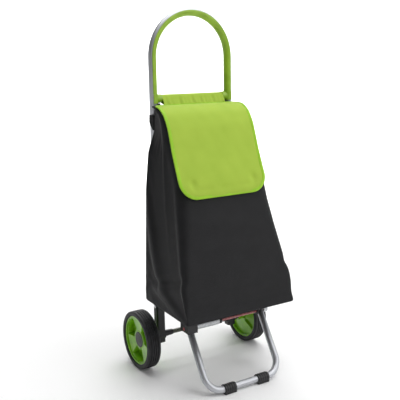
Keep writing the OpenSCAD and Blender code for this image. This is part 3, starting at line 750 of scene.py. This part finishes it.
# %% [markdown]
# ## Lid panel
# The panel is a padded double cloth, a little crowned, pulled in where the fastener under each lower corner is
# sewn, and drawn in above its lower edge. These are small heights added along the surface's own normal.

# %% Lid panel
def lid_relief(x, s):
    """Height of the cloth over its flat state, in metres: a crown across, a pull at each lower corner, a few
    long soft waves, and a shallow draw line across the lower edge."""
    from_edge = s - lid_length      # 0 at the lower edge, negative above it
    fastener_x = 92 * mm
    crown = 1.2 * mm * (1 - (x / lid_half_w) ** 2) * step(s, 40 * mm, 50 * mm)
    pull = sum(-4.2 * mm * bell(x - c, 10 * mm) * bell(from_edge + 40 * mm, 13 * mm)
               for c in (-fastener_x, fastener_x))
    waves = 0.35 * mm * np.sin(2 * np.pi * (x / (83 * mm) + s / (190 * mm))) * step(s, 70 * mm, 80 * mm)
    waves += 0.2 * mm * np.sin(2 * np.pi * (x / (47 * mm) - s / (120 * mm)) + 1.0)
    draw = -0.9 * mm * bell(from_edge + 24 * mm, 6 * mm) * (1 + 0.5 * np.cos(x / (11 * mm)))
    return crown + pull + waves + draw


panel_inset, panel_thick = 4 * mm, 2.0 * mm
bend = np.linspace(0, np.pi / 2, 15)
rows = np.concatenate([panel_inset + (corner_high - panel_inset) * (1 - np.cos(bend)),
                       np.linspace(corner_high, lid_length - corner_low, 90)[1:-1],
                       lid_length - corner_low + (corner_low - panel_inset) * np.sin(bend)])
cols = np.linspace(-1, 1, 101)
panel_x = lid_half_width(rows, panel_inset)[:, None] * cols
panel_s = rows[:, None] + 0 * cols
thin_edge = 1 - (np.abs(cols)[None, :] ** 24)
panel_grid = lid_point(panel_x, panel_s, lid_relief(panel_x, panel_s) * thin_edge - 0.5 * mm)
lid_panel = surface("lid_panel_cloth", panel_grid)
face_away(lid_panel, (0, axle_y, lid_top - 200 * mm))
wall(lid_panel, panel_thick)

# %% Lid binding
def strip(name, outline, section):
    """A closed band round the lid: each section point is an inset from the outline and a height."""
    x = outline[:, :1] - section[None, :, 0] * outline[:, 2:3]
    s = outline[:, 1:2] - section[None, :, 0] * outline[:, 3:4]
    return surface(name, lid_point(x, s, section[None, :, 1] + 0 * x), wrap=(True, True), smooth_angle=60)


tape_half, tape_thick, tape_drop = 4.6 * mm, 1.9 * mm, 1.5 * mm
cos_a, sin_a = circle(1, 28).T
tape = np.stack([tape_half - tape_half * np.sign(cos_a) * np.abs(cos_a) ** 0.55,
                 -tape_drop + tape_thick * np.sign(sin_a) * np.abs(sin_a) ** 0.7], -1)
lid_binding = strip("lid_binding_tape", lid_outline(0), tape)


# %% Stitches
def stitches(name, places, ahead, outward, length, radius):
    """Short thread loops: a spindle whose radius is the cosine of its length, copied to each place."""
    n_along, n_round = 6, 5
    along = np.linspace(-0.5, 0.5, n_along)[None, :, None]
    around = round_angles(n_round)[None, None, :]
    side = np.cross(ahead, outward)
    swell = np.cos(np.pi * along * 0.92) * radius
    grid = (places[:, None, None] + along[..., None] * length * ahead[:, None, None]
            + (swell * np.cos(around))[..., None] * side[:, None, None]
            + (swell * np.sin(around))[..., None] * outward[:, None, None] * 0.7)
    number = np.arange(len(places) * n_along * n_round).reshape(-1, n_along, n_round)
    number = np.concatenate([number, number[:, :, :1]], 2)
    quads = np.stack([number[:, :-1, :-1], number[:, :-1, 1:], number[:, 1:, 1:], number[:, 1:, :-1]], -1)
    mesh = bpy.data.meshes.new(name)
    mesh.from_pydata(grid.reshape(-1, 3).tolist(), [], quads.reshape(-1, 4).tolist())
    return finish_mesh(new_object(name, mesh), 80, fill=True)


def even_points(line, pitch):
    """Points at an equal pitch along a line, and their unit directions."""
    run = metres_along(line)
    at = np.arange(pitch / 2, run[-1], pitch)
    places = sampled(at, run, line)
    return places, unit(sampled(at + pitch / 4, run, line) - places)


stitch_inset, stitch_pitch, stitch_length, thread_r = 7.2 * mm, 4.2 * mm, 2.9 * mm, 0.45 * mm
tape_face = 0.55 * mm      # height of the thread over the tape
seam = lid_outline(stitch_inset)
seam_line = lid_point(seam[:, 0], seam[:, 1], tape_face + 0 * seam[:, 0])
places, ahead = even_points(np.concatenate([seam_line, seam_line[:1]]), stitch_pitch)
above = lid_point(seam[:, 0], seam[:, 1], tape_face + 1 * mm + 0 * seam[:, 0]) - seam_line
beside = np.argmin(np.linalg.norm(places[:, None] - seam_line[None], axis=2), axis=1)
lid_stitches = stitches("lid_stitches", places, ahead, unit(above[beside]), stitch_length, thread_r)
print("stitches round the lid:", len(places))

# %% Crossbar sleeve
def sleeve_section(radius, seam_y, seam_z, count=40):
    """Cloth round the crossbar: up from the seam, round the bar and back down, as points (y, z)."""
    centre = np.array([crossbar_y, crossbar_z])
    start, end = np.array([seam_y - 2.5 * mm, seam_z]), np.array([seam_y + 2.5 * mm, seam_z])

    def touch(point, turn):
        """The angle where the straight from a point touches the bar: its own angle, turned by the arc cosine
        of the radius over its distance."""
        away = point - centre
        return math.atan2(away[1], away[0]) + turn * math.acos(min(1.0, radius / math.hypot(*away)))

    first, last = touch(start, -1) % (2 * np.pi), touch(end, 1)
    arc = np.linspace(first, last, count)
    ring = centre + radius * np.stack([np.cos(arc), np.sin(arc)], -1)
    rise = start + (ring[0] - start) * np.linspace(0, 1, 12)[:-1, None]
    fall = ring[-1] + (end - ring[-1]) * np.linspace(0, 1, 12)[1:, None]
    return np.concatenate([rise, ring, fall])


sleeve_half = box("crossbar_sleeve")[1][0]
sleeve_r = 10.2 * mm      # the crossbar and the cloth round it
sleeve_line = sleeve_section(sleeve_r, seam_y=axle_y + 1.5 * mm, seam_z=lid_top - 0.5 * mm)
across_x = np.linspace(-sleeve_half, sleeve_half, 120)
fold_run = metres_along(sleeve_line)
from_top = np.abs(fold_run - fold_run[-1] / 2) / (fold_run[-1] / 2)
gather = (np.sin(2 * np.pi * across_x / (21 * mm)) + 0.7 * np.sin(2 * np.pi * across_x / (13 * mm) + 1.3)
          + 0.5 * np.sin(2 * np.pi * across_x / (37 * mm) + 0.4))
sleeve_ahead = unit(np.gradient(sleeve_line, axis=0))
sleeve_out = np.stack([-sleeve_ahead[:, 1], sleeve_ahead[:, 0]], -1)
loose = step(from_top, 0.55, 0.6) * (1 - 0.8 * step(from_top, 0.97, 0.06))   # free between bar and seam
height = 0.75 * mm * gather[None, :] * loose[:, None]
sleeve_yz = sleeve_line[:, None] + height[..., None] * sleeve_out[:, None]
sleeve_grid = np.concatenate([np.broadcast_to(across_x[None, :, None], (*height.shape, 1)), sleeve_yz], -1)
sleeve = surface("crossbar_sleeve_cloth", sleeve_grid, smooth_angle=80)
face_away(sleeve, (0, crossbar_y, crossbar_z))
wall(sleeve, 0.9 * mm)
print("sleeve cut, mm:", round(fold_run[-1] / mm, 1), "by", round(2 * sleeve_half / mm, 1))

# %% Hand over the lid
hand_over(lid_panel, None, "green_fabric", ["lid_panel"])
hand_over(lid_binding, None, "green_binding", ["lid_binding"])
hand_over(lid_stitches, None, "green_binding", material=thread_green)
hand_over(sleeve, "frame", "green_fabric", ["crossbar_sleeve"])

# %% [markdown]
# ## Bag
# The bag is sewn from coated polyester: a front that rises from the hem and leans back, two sides, a back and
# a floor. It is drawn as one lofted shell. Its cross-section is a rounded rectangle, and its width, front and
# back change with the height. Above the mouth only the sides and the back go on, under the lid. The cloth is
# then let go for a moment in a simulation, pinned where it is sewn or tied, so that it settles into folds.

# %% Bag outline
mouth_z = box("bag_front")[1][2]
bag_top_z = box("bag_back")[1][2]
band_z = bag_floor_z + 67 * mm       # top of the upright band at the bag's foot
front_line = np.array([[bag_front_y, bag_floor_z], [bag_front_y + 8 * mm, band_z]])
under_lid = lid_line[::-20]
under_ahead = unit(np.gradient(under_lid, axis=0))
lid_gap = 4.2 * mm                    # the bag's front lies this far under the lid's face
under_lid = under_lid + lid_gap * np.stack([under_ahead[:, 1], -under_ahead[:, 0]], -1)
under_lid = under_lid[(under_lid[:, 1] < bag_top_z) & (under_lid[:, 1] > lid_low[2] - 1 * mm)]
front_line = np.concatenate([front_line, under_lid])
back_gap = 16.2 * mm


def bag_half_width(z, share):
    """Half width of the bag at height z, and at a share of its depth from 0 at the front to 1 at the back. It
    is straight up the band. Above it the front narrows more than the back, which is tied to the legs and is
    drawn in to them only below the lid."""
    up = (z - bag_floor_z) / mm
    front = np.interp(up, [55, 77, 122, 212, 284, 519], [167.6, 166.5, 159, 148, 141, 135]) * mm
    back = np.interp(up, [55, 77, 303, 401, 458, 519], [167.6, 166.0, 158, 148, 127, 125]) * mm
    return front + (back - front) * share


def bag_front(z):
    """The front's y at height z."""
    return np.interp(z, front_line[:, 1], front_line[:, 0])


def bag_back(z):
    """The back's y at height z, a fixed gap in front of the legs."""
    return leg_y(z) - back_gap


# %% Bag shell
n_side, n_front, n_arc = 26, 38, 7
quarter = np.linspace(0, np.pi / 2, n_arc)
# For each column, once round from the back left corner: the corner's side (sx, sy) and its rounding (dx, dy)
corners = [np.stack([np.full(n_arc, sx), np.full(n_arc, sy), np.cos(a0 + quarter), np.sin(a0 + quarter)], -1)
           for sx, sy, a0 in ((-1, 1, np.pi / 2), (-1, -1, np.pi), (1, -1, 1.5 * np.pi), (1, 1, 0.0))]
columns = joined(corners, (n_side, n_front, n_side, n_front))
sx, sy, dx, dy = columns.T
bag_z = np.concatenate([np.linspace(bag_floor_z, band_z, 9)[:-1], np.linspace(band_z, mouth_z, 44)[:-1],
                        np.linspace(mouth_z, bag_top_z, 11)])
front_y, back_y = bag_front(bag_z), bag_back(bag_z)
back_r = 7 * mm                       # rounding of the back corners, and of the front ones at the floor
corner_r = np.interp(bag_z, [bag_floor_z, band_z, band_z + 200 * mm], [back_r, 12 * mm, 30 * mm])
edge_r = np.where(sy < 0, corner_r[:, None], back_r)
edge_r = np.minimum(edge_r, (back_y - front_y)[:, None] / 3)
half_w = bag_half_width(bag_z[:, None], (0.5 + 0.5 * sy)[None, :])
bag_x = sx * (half_w - edge_r) + dx * edge_r
bag_y = ((front_y + back_y) / 2)[:, None] + sy * (((back_y - front_y) / 2)[:, None] - edge_r) + dy * edge_r
shell = np.stack([bag_x, bag_y, bag_z[:, None] + 0 * bag_x], -1)
is_front = (sy < -0.98) & (np.abs(sx) < 0.8) & (dy < -0.75)
above_mouth = bag_z[:-1] > mouth_z - 1e-9
wrapped_front = np.append(is_front, is_front[0])
cells = ~(above_mouth[:, None] & (wrapped_front[:-1] & wrapped_front[1:])[None, :])
print("bag shell points:", shell.shape[:2], " height, mm:", round((bag_top_z - bag_floor_z) / mm))

# %% Floor of the bag
shares = np.array([0.0, 0.25, 0.5, 0.75, 0.93])
inner_z = bag_floor_z + 0.3 * mm
floor_centre = np.array([0, (front_y[0] + back_y[0]) / 2, inner_z])
floor_rows = floor_centre + shares[:, None, None] * (shell[0] - floor_centre)
floor_rows[:, :, 2] = inner_z
bag_grid = np.concatenate([floor_rows, shell])
bag_cells = np.concatenate([np.ones((len(shares), len(columns)), bool), cells])
bag = surface("bag_cloth", bag_grid, wrap=(False, True), keep=bag_cells, smooth_angle=180)
face_away(bag, (0, axle_y - 100 * mm, 420 * mm))


# %% Let the cloth settle
def settle(obj, pinned, frames, ease, cap):
    """Runs a cloth simulation on the piece, pinned by a weight per point, with the cloth cut a share larger
    than drawn, so that it has something to fold. A point's final move stays under the cap."""
    before = read_array(obj.data.vertices, "co")
    group = obj.vertex_groups.new(name="pinned")
    for index, weight in enumerate(pinned(before)):
        group.add([index], float(weight), "REPLACE")
    cloth = obj.modifiers.new("Cloth", "CLOTH")
    for key, value in {"quality": 6, "mass": 0.25, "tension_stiffness": 25, "compression_stiffness": 25,
                       "shear_stiffness": 12, "bending_stiffness": 1.2, "air_damping": 3, "shrink_min": -ease,
                       "vertex_group_mass": "pinned", "pin_stiffness": 1.0}.items():
        setattr(cloth.settings, key, value)
    cloth.point_cache.frame_start, cloth.point_cache.frame_end = 1, frames
    scene = bpy.context.scene
    for number in range(1, frames + 1):
        scene.frame_set(number)
    done = obj.evaluated_get(bpy.context.evaluated_depsgraph_get())
    moved = read_array(done.data.vertices, "co") - before
    length = np.linalg.norm(moved, axis=1, keepdims=True)
    moved *= cap * np.tanh(length / cap) / np.maximum(length, 1e-9)
    obj.modifiers.remove(cloth)
    obj.vertex_groups.remove(group)
    scene.frame_set(1)
    obj.data.vertices.foreach_set("co", (before + moved).ravel())
    obj.data.update()
    print(obj.name, "moved at most, mm:", round(float(length.max()) / mm, 1))


def bag_pins(points):
    """1 where the bag is sewn or tied: its floor and hem, its rim, its back corners. Less towards the free
    middle of each panel."""
    x, y, z = points.T
    hem = 1 - step(z, bag_floor_z + 14 * mm, 20 * mm)
    rim = np.where(np.abs(y - bag_front(z)) < 4 * mm, step(z, mouth_z - 14 * mm, 24 * mm),
                   step(z, bag_top_z - 60 * mm, 80 * mm))
    back = step(y - bag_back(z), -9 * mm, 8 * mm) * step(np.abs(x), 60 * mm, 60 * mm)
    return np.clip(np.maximum(np.maximum(hem, rim), back), 0, 1)


settle(bag, bag_pins, frames=24, ease=0.006, cap=5 * mm)


# %% Folds that are there for a reason
def add_folds(obj, relief):
    """Moves each point along its normal by a height worked out from its place."""
    co, normal = (read_array(obj.data.vertices, key) for key in ("co", "normal"))
    obj.data.vertices.foreach_set("co", (co + relief(co)[:, None] * normal).ravel())
    obj.data.update()


def bag_relief(points):
    """Heights on the bag: each side is drawn in along a slanting crease between its filled lower part and the
    slack cloth above, the front swells a little, and shallow waves hang from under the lid."""
    x, y, z = points.T
    depth = (y - bag_front(z)) / np.maximum(bag_back(z) - bag_front(z), 30 * mm)
    half = bag_half_width(z, np.clip(depth, 0, 1))
    flank = step(np.abs(x) - half, -10 * mm, 8 * mm)
    above_line = z - (300 * mm - 62 * mm * np.clip(depth, 0, 1))     # the crease falls towards the back
    crease = -8 * mm * bell(above_line - 9 * mm, 9 * mm) + 3 * mm * bell(above_line + 14 * mm, 16 * mm)
    crease *= np.sin(np.pi * np.clip(depth * 0.9 + 0.08, 0, 1))
    slack = -3 * mm * np.sin(np.pi * np.clip(depth, 0, 1)) * step(z, 340 * mm, 140 * mm)
    face = 1 - step(depth, 0.06, 0.05)
    wide = np.cos(np.pi * np.clip(x / half, -1, 1) / 2)
    swell = 3.0 * mm * wide * np.sin(np.pi * np.clip((z - bag_floor_z) / (mouth_z - bag_floor_z), 0, 1))
    waves = 0.9 * mm * wide * np.sin(2 * np.pi * (z / (58 * mm) + x / (400 * mm))) * bell(z - 400 * mm, 70 * mm)
    return flank * (crease + slack) + face * (swell + waves)


add_folds(bag, bag_relief)
add_modifier(bag, "SUBSURF", levels=1, render_levels=1)
add_modifier(bag, "SOLIDIFY", thickness=1.2 * mm, offset=-1)     # even offset would spike at sharp corners
hand_over(bag, "frame", "black_fabric",
          ["bag_front", "bag_back", "bag_side_left", "bag_side_right", "bag_floor"])

# %% [markdown]
# ## Loops and sleeves on the legs
# The bag hangs on the hoop by a short loop near each upper corner and by a long sleeve lower down. Both are
# cloth carried round the tube and sewn to the bag's back. The section is the outline of a circle and a
# straight base, pulled tight like a belt, and it is carried along the leg.

# %% Cloth round a tube
def belt_section(radius, base_out, base_in, base_y, count=72):
    """The tight outline round a circle and the two ends of a base, by its support: in each direction the
    outline reaches as far as the furthest of them. Points are (outwards, back)."""
    cloud = np.concatenate([circle(radius, 720), [[base_out, base_y], [base_in, base_y]]])
    furthest = cloud[np.argmax(cloud @ circle(1, 720).T, axis=0)]
    loop = np.concatenate([furthest, furthest[:1]])
    run = metres_along(loop)
    return sampled(np.linspace(0, run[-1], count + 1)[:-1], run, loop)


def leg_cloth(name, node, side, base_out, slant, ripple):
    """The belt section carried up a leg between the node's ends. The lower edge slants, and the cloth
    ripples with the given height."""
    low, high = box(node)
    z0, z1 = (low[2] - wheel_r) / math.cos(LEAN), (high[2] - wheel_r) / math.cos(LEAN)
    v = np.linspace(0, 1, 40)[:, None]
    section = belt_section(tube_r + 1.6 * mm, base_out, base_in=-15 * mm, base_y=0.6 * mm - back_gap)
    a = np.arctan2(section[:, 1], section[:, 0])
    wave = ripple * (np.sin(3 * a + 9 * v) * np.sin(2 * np.pi * v * (z1 - z0) / (34 * mm)))
    out = section[None] + unit(section)[None] * wave[..., None]
    start = z0 + slant * np.clip(0.5 + 0.5 * (section[:, 1] / (12 * mm)), 0, 1)
    height = start[None, :] * (1 - v) + z1 * v
    x = side * (arch_r + out[..., 0])
    grid = on_frame(np.stack([x, out[..., 1], height + 0 * x], -1))
    piece = surface(name, grid, wrap=(False, True), smooth_angle=70)
    face_away(piece, on_frame([side * arch_r, 0, (z0 + z1) / 2]))
    return hand_over(wall(piece, 1.1 * mm), "frame", "black_fabric", [node])


for side, sign in SIDES:
    leg_cloth(f"frame_loop_{side}_cloth", f"frame_loop_{side}", sign, base_out=9 * mm, slant=30 * mm,
              ripple=0.5 * mm)
    leg_cloth(f"leg_sleeve_{side}_cloth", f"leg_sleeve_{side}", sign, base_out=22 * mm, slant=0.0,
              ripple=0.9 * mm)

# %% [markdown]
# ## The lid's pieces baked in place
# The lid and the sleeve are sheets. The lid's seam is the real cart's living hinge. Here the lid's panel,
# binding and stitches only have their placing baked into their points, and they ride on no body.

for piece in (lid_panel, lid_binding, lid_stitches):
    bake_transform(piece)

# %% [markdown]
# ## Floor, light and camera
# The object stands on a plain pale floor that runs up into the background, in soft light: a surround that
# is bright on the right and dim on the left, so that the bag's front is lighter than its left side, one large
# panel from the front right, one above, and one for the background. The camera is placed by its azimuth,
# elevation and distance.

# %% Floor and light
cove_r, flat_count = 3.0, 10
cove = np.linspace(0, np.pi / 2, 16)[1:]
floor_y = np.concatenate([np.linspace(-6, 3, flat_count), 3 + cove_r * np.sin(cove)])
floor_z = np.concatenate([np.zeros(flat_count), cove_r - cove_r * np.cos(cove)])
floor_x = np.linspace(-9, 9, 5)
floor_grid = np.stack(np.broadcast_arrays(floor_x[None], floor_y[:, None], floor_z[:, None]), -1)
floor = surface("studio_floor", floor_grid, smooth_angle=80)
paper, paper_tree, paper_shader, paper_place = start("matt_white_paper", {"Roughness": 0.9})
fibre = noise(paper_tree, paper_place, 2.5 * mm, 2.0)
shade_between(paper_tree, paper_shader, fibre, "Fac", "#f4f4f4", "#fbfbfb")
floor.data.materials.append(paper)

scene = bpy.context.scene
world = bpy.data.worlds.new("bright_surround")
scene.world = world
world.use_nodes = True
background = world.node_tree.nodes["Background"]
background.inputs["Color"].default_value = (1, 1, 1, 1)
direction = add(world.node_tree, "TexCoord", {})
towards = add(world.node_tree, "SeparateXYZ", {}, [(0, direction, "Generated")])
dimmed = add(world.node_tree, "MapRange", {"From Min": -0.8, "From Max": 0.5, "To Min": 0.05, "To Max": 0.66},
             [("Value", towards, "X")])
world.node_tree.links.new(dimmed.outputs["Result"], background.inputs["Strength"])


def area_light(name, place, aim, size, power):
    """A soft square light at a place, aimed at a point."""
    data = bpy.data.lights.new(name, "AREA")
    data.size, data.energy = size, power
    lamp = new_object(name, data)
    lamp.location = place
    lamp.rotation_euler = (Vector(aim) - Vector(place)).to_track_quat("-Z", "Y").to_euler()


area_light("key_panel", (1.6, -2.6, 2.2), (0, 0, 0.4), 2.0, 27)
area_light("top_panel", (0.4, 0.2, 3.0), (0.2, 0.4, 0), 3.0, 62)
area_light("backdrop_panel", (2.6, 3.2, 4.0), (3.2, 5.6, 0.9), 4.0, 380)
scene.view_settings.view_transform = "Standard"

# %% Camera
azimuth, elevation = math.radians(-31.85), math.radians(12.99)
aim, distance = Vector((0.3371, 0.6104, 0.3076)), 2.519
backward = Vector((math.sin(azimuth) * math.cos(elevation), -math.cos(azimuth) * math.cos(elevation),
                   math.sin(elevation)))
camera = new_object("camera", bpy.data.cameras.new("camera"))
camera.data.lens, camera.data.sensor_width = 61.457, 36
camera.location = aim + backward * distance
camera.rotation_euler = (-backward).to_track_quat("-Z", "Y").to_euler()
scene.camera = camera
print("camera at, m:", [round(v, 3) for v in camera.location])
